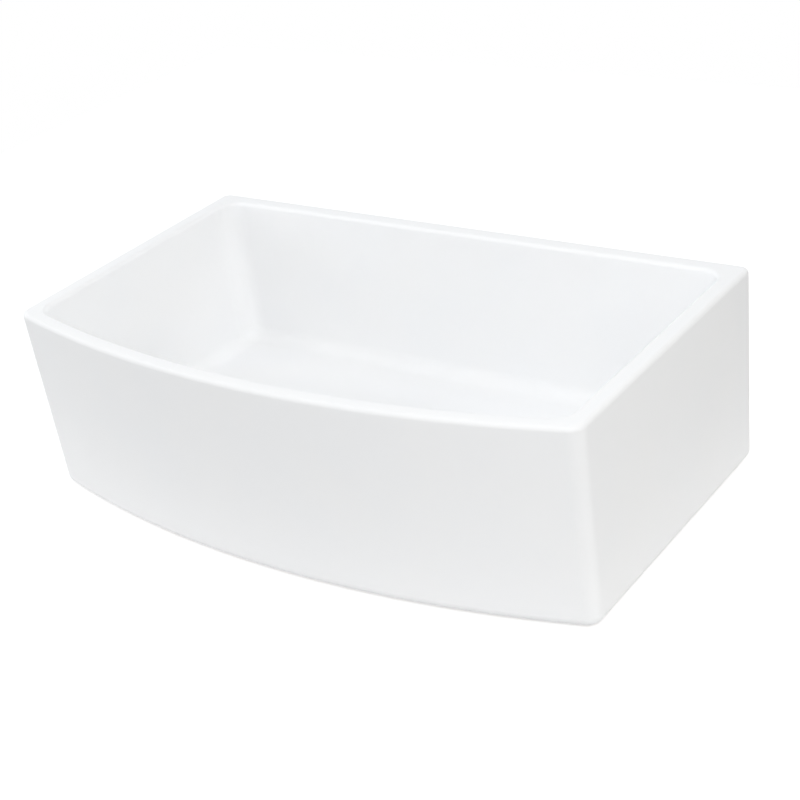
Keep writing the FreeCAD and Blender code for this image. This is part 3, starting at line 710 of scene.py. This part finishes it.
# ---------------------------------------------------------------- basket cup
# Pressed from 1 mm stainless sheet: a cup with a flat lip, pierced with twelve slots in its
# wall and twelve between them in its floor. Its edges are burnished, so they don't cut.
SHEET = 1.0
CUP_HOLE_R = 6.6
CUP_FLOOR = 4.28                # middle of the sheet
CUP_FOOT_R = 36.5
CUP_TOP_R = 39.3
CUP_LIP = 40.8
CUP_LIP_R = 46.5
SLOTS = 12
SLOT_WIDTH = 4.2
WALL_SLOT = (13.28, 30.28)      # heights of its two ends
FLOOR_SLOT = (14.2, 28.5)       # radii of its two ends
SECTOR = 2 * math.pi / SLOTS
COLUMNS = 16                    # faces across one sector
CELL_ROWS = 10                  # faces along one slot's cell
CELL_RINGS = 4
WEB = 1.6                       # sheet between a slot's end and the end of its cell
WELD = 0.00002                  # metres, at the sectors' seams
BURNISHED = 0.22

section = rounded(
    [(CUP_HOLE_R, CUP_FLOOR), (CUP_FOOT_R, CUP_FLOOR, 5.5), (CUP_TOP_R, CUP_LIP, 1.5),
     (CUP_LIP_R, CUP_LIP)], 8
)
runs = [0.0]
for before, after in zip(section, section[1:]):
    runs.append(runs[-1] + (after - before).length)


def on_section(run):
    """Radius and height of the sheet's middle at a distance along its section."""
    for i in range(len(runs) - 1):
        if run <= runs[i + 1] or i == len(runs) - 2:
            t = (run - runs[i]) / (runs[i + 1] - runs[i])
            return section[i].lerp(section[i + 1], t)


def run_at(axis, value):
    """Distance along the section where its radius (0) or its height (1) first reaches a value."""
    for i in range(len(section) - 1):
        if section[i + 1][axis] >= value:
            t = (value - section[i][axis]) / (section[i + 1][axis] - section[i][axis])
            return runs[i] + t * (runs[i + 1] - runs[i])


def on_cup(run, angle):
    """Point on the cup, in metres."""
    spot = on_section(run)
    return Vector((spot.x * math.cos(angle), spot.x * math.sin(angle), spot.y)) * MM


def plain_band(shape, start, end, rows):
    """Unpierced part of one sector."""
    grid = []
    for i in range(rows + 1):
        run = start + (end - start) * i / rows
        grid.append([
            shape.verts.new(on_cup(run, SECTOR * (k / COLUMNS - 0.5))) for k in range(COLUMNS + 1)
        ])
    for i in range(rows):
        for k in range(COLUMNS):
            shape.faces.new([grid[i][k], grid[i][k + 1], grid[i + 1][k + 1], grid[i + 1][k]])


def pierced_band(shape, start, end, turn):
    """One sector's cell with a round-ended slot in its middle, in rings from edge to slot."""
    middle = (start + end) / 2
    spine = (end - start) / 2 - WEB - SLOT_WIDTH / 2
    rim = []
    for k in range(COLUMNS):
        rim.append((start, SECTOR * (k / COLUMNS - 0.5)))
    for i in range(CELL_ROWS):
        rim.append((start + (end - start) * i / CELL_ROWS, SECTOR / 2))
    for k in range(COLUMNS):
        rim.append((end, SECTOR * (0.5 - k / COLUMNS)))
    for i in range(CELL_ROWS):
        rim.append((end - (end - start) * i / CELL_ROWS, -SECTOR / 2))
    rings = []
    for ring in range(CELL_RINGS + 1):
        t = ring / CELL_RINGS
        row = []
        for run, angle in rim:
            outer = Vector((run - middle, angle * on_section(run).x))
            along = max(-spine, min(spine, outer.x))
            away = (outer - Vector((along, 0))).normalized()
            inner = Vector((along, 0)) + away * (SLOT_WIDTH / 2)
            spot = outer.lerp(inner, t)
            run_here = middle + spot.x
            row.append(shape.verts.new(on_cup(run_here, spot.y / on_section(run_here).x + turn)))
        rings.append(row)
    for outer, inner in zip(rings, rings[1:]):
        for k in range(len(rim)):
            m = (k + 1) % len(rim)
            shape.faces.new([outer[k], outer[m], inner[m], inner[k]])


def cup_sector():
    """A twelfth of the cup: bands and cells from the bush's hole out to the lip."""
    floor_start = run_at(0, FLOOR_SLOT[0]) - WEB
    floor_end = run_at(0, FLOOR_SLOT[1]) + WEB
    wall_start = run_at(1, WALL_SLOT[0]) - WEB
    wall_end = run_at(1, WALL_SLOT[1]) + WEB
    shape = bmesh.new()
    plain_band(shape, 0, floor_start, 3)
    pierced_band(shape, floor_start, floor_end, 0)
    plain_band(shape, floor_end, wall_start, 10)
    pierced_band(shape, wall_start, wall_end, SECTOR / 2)
    plain_band(shape, wall_end, runs[-1], 14)
    mesh = bpy.data.meshes.new("cup_sector")
    shape.to_mesh(mesh)
    shape.free()
    return mesh


cup_steel = brushed("stainless_steel_basket", (0.66, 0.66, 0.65), 7000.0, 0.16, 0.28, 0.00001)
sheet = ringed(cup_sector(), cup_steel, SLOTS, weld=WELD)
shape = bmesh.new()
shape.from_mesh(sheet)
bmesh.ops.recalc_face_normals(shape, faces=shape.faces)
shape.to_mesh(sheet)
shape.free()
cup = piece("pierced_cup", [sheet], cup_steel, "stainless_steel", "basket", "basket_cup")
wall = cup.modifiers.new("sheet", "SOLIDIFY")
wall.thickness = SHEET * MM
wall.offset = 0.0
wall.use_even_offset = True
burr = cup.modifiers.new("burnished_edges", "BEVEL")
burr.width = BURNISHED * MM
burr.segments = 2
burr.limit_method = "ANGLE"
burr.angle_limit = math.radians(45)
cup.modifiers.move(0, 2)        # the even shading comes last


# ---------------------------------------------------------------- guide bush and grip ring
# The nylon bush is riveted in the cup's floor. The rubber ring in its groove grips the post,
# so the stopper stays up where it is left.
nodes["post_bush"].material_slots[0].material = nylon
nodes["post_o_ring"].material_slots[0].material = rubber


# ---------------------------------------------------------------- stopper
# Moulded rubber disc with a soft edge and three fine sealing ribs on its crown.
STOPPER_R = 30.0
STOPPER_TOP = -5.92
STOPPER_CROWN_R = 20.0
STOPPER_SHOULDER = -9.92
STOPPER_HEEL = -11.5
STOPPER_LIP_R = 29.4
STOPPER_LIP = -12.13
STOPPER_UNDER = -13.4
MIDDLE_R = 12.0                 # thick middle that the washer bears on
HOLLOW_R = 24.0
HOLLOW_TOP = -11.17
HOLLOW_EDGE = -12.78
COLLAR_SEAT = -7.42
COLLAR_SEAT_R = 8.3
RIBS = (26.5, 24.5, 22.5)
RIB_HALF = 0.35
RIB_RISE = 0.25
SLOPE = (STOPPER_TOP - STOPPER_SHOULDER) / (STOPPER_R - STOPPER_CROWN_R)

stopper_outline = [
    (GUIDE_R, STOPPER_UNDER), (MIDDLE_R, STOPPER_UNDER, 0.5), (MIDDLE_R, HOLLOW_TOP),
    (HOLLOW_R, HOLLOW_TOP), (HOLLOW_R, HOLLOW_EDGE), (STOPPER_LIP_R, STOPPER_LIP, 0.3),
    (STOPPER_R, STOPPER_HEEL, 0.4), (STOPPER_R, STOPPER_SHOULDER, 0.8),
]
for rib in RIBS:
    crown = STOPPER_SHOULDER + (STOPPER_R - rib) * SLOPE
    stopper_outline += [
        (rib + RIB_HALF, crown - RIB_HALF * SLOPE), (rib, crown + RIB_RISE, 0.2),
        (rib - RIB_HALF, crown + RIB_HALF * SLOPE),
    ]
stopper_outline += [
    (STOPPER_CROWN_R, STOPPER_TOP, 1.5), (COLLAR_SEAT_R, STOPPER_TOP, 0.3),
    (COLLAR_SEAT_R, COLLAR_SEAT), (GUIDE_R, COLLAR_SEAT),
]
piece("stopper_disc", [turned(stopper_outline, around=128)], rubber, "black_rubber", "stopper",
      "rubber_stopper")


# ---------------------------------------------------------------- post, washer and nut
# The post is turned from bar, with the collar that carries the stopper. The washer and the
# nut below hold the stopper, and the post's tip runs in the hub of the cross.
POST_R = 4.0
POST_ROOT_R = 3.45
POST_PITCH = 1.25
POST_TIP = -27.7
POST_THREAD_FOOT = -21.6
POST_THREAD_TOP = -15.0
POST_THREAD_START = -21.0       # the ridge begins just above the thread's foot
COLLAR_R = 8.0
COLLAR_UNDER = -7.32
KNOB_FOOT = 25.0
STUD_R = 2.8                    # the knob screws on this
STUD_TOP = 34.0

post = turned(
    [
        (0, POST_TIP), (POST_R, POST_TIP, 1.5), (POST_R, POST_THREAD_FOOT),
        (POST_ROOT_R, POST_THREAD_FOOT + 0.4), (POST_ROOT_R, POST_THREAD_TOP),
        (POST_R, POST_THREAD_TOP + 0.5), (POST_R, COLLAR_UNDER, 0.2),
        (COLLAR_R, COLLAR_UNDER, 0.25), (COLLAR_R, STOPPER_TOP, 0.35),
        (POST_R, STOPPER_TOP, 0.4), (POST_R, KNOB_FOOT, 0.3), (STUD_R, KNOB_FOOT, 0.2),
        (STUD_R, STUD_TOP, 0.4), (0, STUD_TOP),
    ],
    around=64,
)
post_thread = grown(
    winding, steel, Core=POST_ROOT_R * MM, Pitch=POST_PITCH * MM,
    Depth=(POST_R - POST_ROOT_R) * MM, Foot=POST_THREAD_START * MM,
    Turns=(POST_THREAD_TOP - POST_THREAD_START) / POST_PITCH, Spokes=40,
)
piece("turned_post", [post, post_thread], steel, "stainless_steel", "spindle", "stopper_post")
nodes["stopper_washer"].material_slots[0].material = steel

NUT_FLAT_R = 5.5
NUT_LOW = -17.7
NUT_HIGH = -14.5
NUT_CHAMFER = 0.55
NUT_CHAMFER_RISE = 0.35


def hexagon(angle):
    """Distance from the axis to the nut's flats at an angle."""
    return NUT_FLAT_R / math.cos((angle % (math.pi / 3)) - math.pi / 6)


nut_corner = NUT_FLAT_R / math.cos(math.pi / 6)
nut = turned(
    [
        (GUIDE_R, NUT_LOW, 0.25), (nut_corner - NUT_CHAMFER, NUT_LOW),
        (nut_corner, NUT_LOW + NUT_CHAMFER_RISE), (nut_corner, NUT_HIGH - NUT_CHAMFER_RISE),
        (nut_corner - NUT_CHAMFER, NUT_HIGH), (GUIDE_R, NUT_HIGH, 0.25),
    ],
    around=96, clip=hexagon,
)
piece("hexagon_nut", [nut], steel, "stainless_steel", "spindle", "stopper_nut")


# ---------------------------------------------------------------- knob
# Turned stainless pull, screwed on the post and polished bright.
polish = plated("polished_steel_bright", (0.72, 0.72, 0.72, 1), 0.06, 0.12)
nodes["knob"].material_slots[0].material = polish


# ---------------------------------------------------------------- floor
# White studio floor with an opening under the sink, where the waste goes through. The opening
# follows the outline of the foot, 4 mm inside it. Its glow shows only to the camera and in
# glossy things, and from below it is clear, so that the underside can be seen.
FLOOR_REACH = 1.6
FLOOR_LEVEL = -0.0003           # just clear of the foot, so that the two faces don't coincide
OPENING_SIDE = 0.3965
OPENING_BACK = 0.2232
OPENING_FRONT = -0.2180          # at the middle of the bow
OPENING_BOW = BOW_CENTRE_Y - OPENING_FRONT
BOW_STEPS = 24
FLOOR_TONE = 0.5
FLOOR_GLOW = 0.65

floor_mesh = bpy.data.meshes.new("floor")
inner = []
outer = []
for i in range(BOW_STEPS + 1):
    share = 2 * i / BOW_STEPS - 1
    across = share * OPENING_SIDE
    inner.append((across, BOW_CENTRE_Y - math.sqrt(OPENING_BOW ** 2 - across ** 2)))
    outer.append((share * FLOOR_REACH, -FLOOR_REACH))
inner += [(OPENING_SIDE, OPENING_BACK), (-OPENING_SIDE, OPENING_BACK)]
outer += [(FLOOR_REACH, FLOOR_REACH), (-FLOOR_REACH, FLOOR_REACH)]
count = len(inner)
floor_mesh.from_pydata(
    [(across, along, FLOOR_LEVEL) for across, along in inner + outer], [],
    [(i, i + count, (i + 1) % count + count, (i + 1) % count) for i in range(count)],
)
floor = bpy.data.objects.new("floor", floor_mesh)
scene.collection.objects.link(floor)
floor_look, tree, shader, _ = new_look("white_floor")
tree.nodes.remove(shader)
diffuse = add(tree, "ShaderNodeBsdfDiffuse", (FLOOR_TONE, FLOOR_TONE, FLOOR_TONE, 1))
path = tree.nodes.new("ShaderNodeLightPath").outputs
seen = maths(tree, "MAXIMUM", path["Is Camera Ray"], path["Is Glossy Ray"])
seen = maths(tree, "MAXIMUM", seen, path["Is Transmission Ray"])
glow = add(tree, "ShaderNodeEmission", (1, 1, 1, 1), maths(tree, "MULTIPLY", seen, FLOOR_GLOW))
lit = add(tree, "ShaderNodeAddShader", diffuse.outputs[0], glow.outputs[0])
clear = tree.nodes.new("ShaderNodeBsdfTransparent")
from_below = tree.nodes.new("ShaderNodeNewGeometry").outputs["Backfacing"]
sided = add(tree, "ShaderNodeMixShader", from_below, lit.outputs[0], clear.outputs[0])
tree.links.new(sided.outputs[0], tree.nodes["Material Output"].inputs["Surface"])
floor_mesh.materials.append(floor_look)


# ---------------------------------------------------------------- light
# A softly lit white room. A translucent table glows faintly under the sink and lifts the foot
# of its walls. The strongest of the soft boxes stands high on the viewer's side.
ROOM_LIGHT = 0.29
ROOM_WHITE = 1.0
COOL = (0.955, 0.98, 1.0)
PLAIN = (1.0, 1.0, 1.0)
WARM = (1.0, 0.985, 0.945)

world = bpy.data.worlds.new("studio")
scene.world = world
world.use_nodes = True
tree = world.node_tree
room = tree.nodes["Background"]
room.inputs["Color"].default_value = (1, 1, 1, 1)
room.inputs["Strength"].default_value = ROOM_LIGHT
backdrop = add(tree, "ShaderNodeBackground", (1, 1, 1, 1), ROOM_WHITE)
path = tree.nodes.new("ShaderNodeLightPath").outputs
seen = add(
    tree, "ShaderNodeMixShader", path["Is Camera Ray"], room.outputs[0], backdrop.outputs[0]
)
tree.links.new(seen.outputs[0], tree.nodes["World Output"].inputs["Surface"])


def soft_box(name, at, aim, width, depth, watts, colour):
    """Rectangular studio light at a place, turned to what it lights and out of view itself."""
    lamp = bpy.data.lights.new(name, "AREA")
    lamp.shape = "RECTANGLE"
    lamp.size = width
    lamp.size_y = depth
    lamp.energy = watts
    lamp.color = colour
    holder = bpy.data.objects.new(name, lamp)
    holder.location = at
    holder.rotation_mode = "QUATERNION"
    holder.rotation_quaternion = (Vector(aim) - Vector(at)).to_track_quat("-Z", "Y")
    holder.visible_camera = False
    scene.collection.objects.link(holder)


MIDDLE = (0.0, 0.0, 0.12)
soft_box("light_table", (0, 0, 0.003), (0, 0, 1), 1.2, 0.85, 1.0, PLAIN)
soft_box("high_right", (1.4, -1.5, 2.2), MIDDLE, 1.2, 1.2, 28.8, PLAIN)
soft_box("viewer_side", (1.7, -1.9, 1.7), MIDDLE, 1.6, 1.6, 11.2, PLAIN)
soft_box("high_left", (-1.4, -1.5, 2.2), MIDDLE, 1.2, 1.2, 11.6, COOL)
soft_box("front_left", (-2.0, -2.0, 1.0), MIDDLE, 1.5, 1.5, 12.8, PLAIN)
soft_box("left", (-2.6, 0.0, 1.0), MIDDLE, 1.5, 1.0, 20.0, COOL)
soft_box("right", (2.6, 0.0, 1.0), MIDDLE, 1.5, 1.0, 13.0, WARM)
soft_box("overhead", (-0.35, 0.45, 2.0), MIDDLE, 0.9, 0.35, 5.0, COOL)
soft_box("back", (0.0, 2.6, 1.0), MIDDLE, 2.0, 1.0, 20.7, COOL)


# ---------------------------------------------------------------- camera
CAMERA_AZIMUTH = math.radians(38.21)
CAMERA_ELEVATION = math.radians(27.65)
CAMERA_DISTANCE = 2.207
CAMERA_ROLL = math.radians(-8.09)
CAMERA_TARGET = Vector((0.00501, 0.0501, 0.09695))
CAMERA_LENS = 75.51

level = math.cos(CAMERA_ELEVATION)
to_eye = Vector((
    math.sin(CAMERA_AZIMUTH) * level,
    -math.cos(CAMERA_AZIMUTH) * level,
    math.sin(CAMERA_ELEVATION),
))
upright = (-to_eye).to_track_quat("-Z", "Y")
camera_data = bpy.data.cameras.new("camera")
camera_data.lens = CAMERA_LENS
camera = bpy.data.objects.new("camera", camera_data)
camera.location = CAMERA_TARGET + CAMERA_DISTANCE * to_eye
camera.rotation_mode = "QUATERNION"
camera.rotation_quaternion = upright @ Quaternion((0, 0, 1), CAMERA_ROLL)
scene.collection.objects.link(camera)
scene.camera = camera
scene.view_settings.view_transform = "Standard"
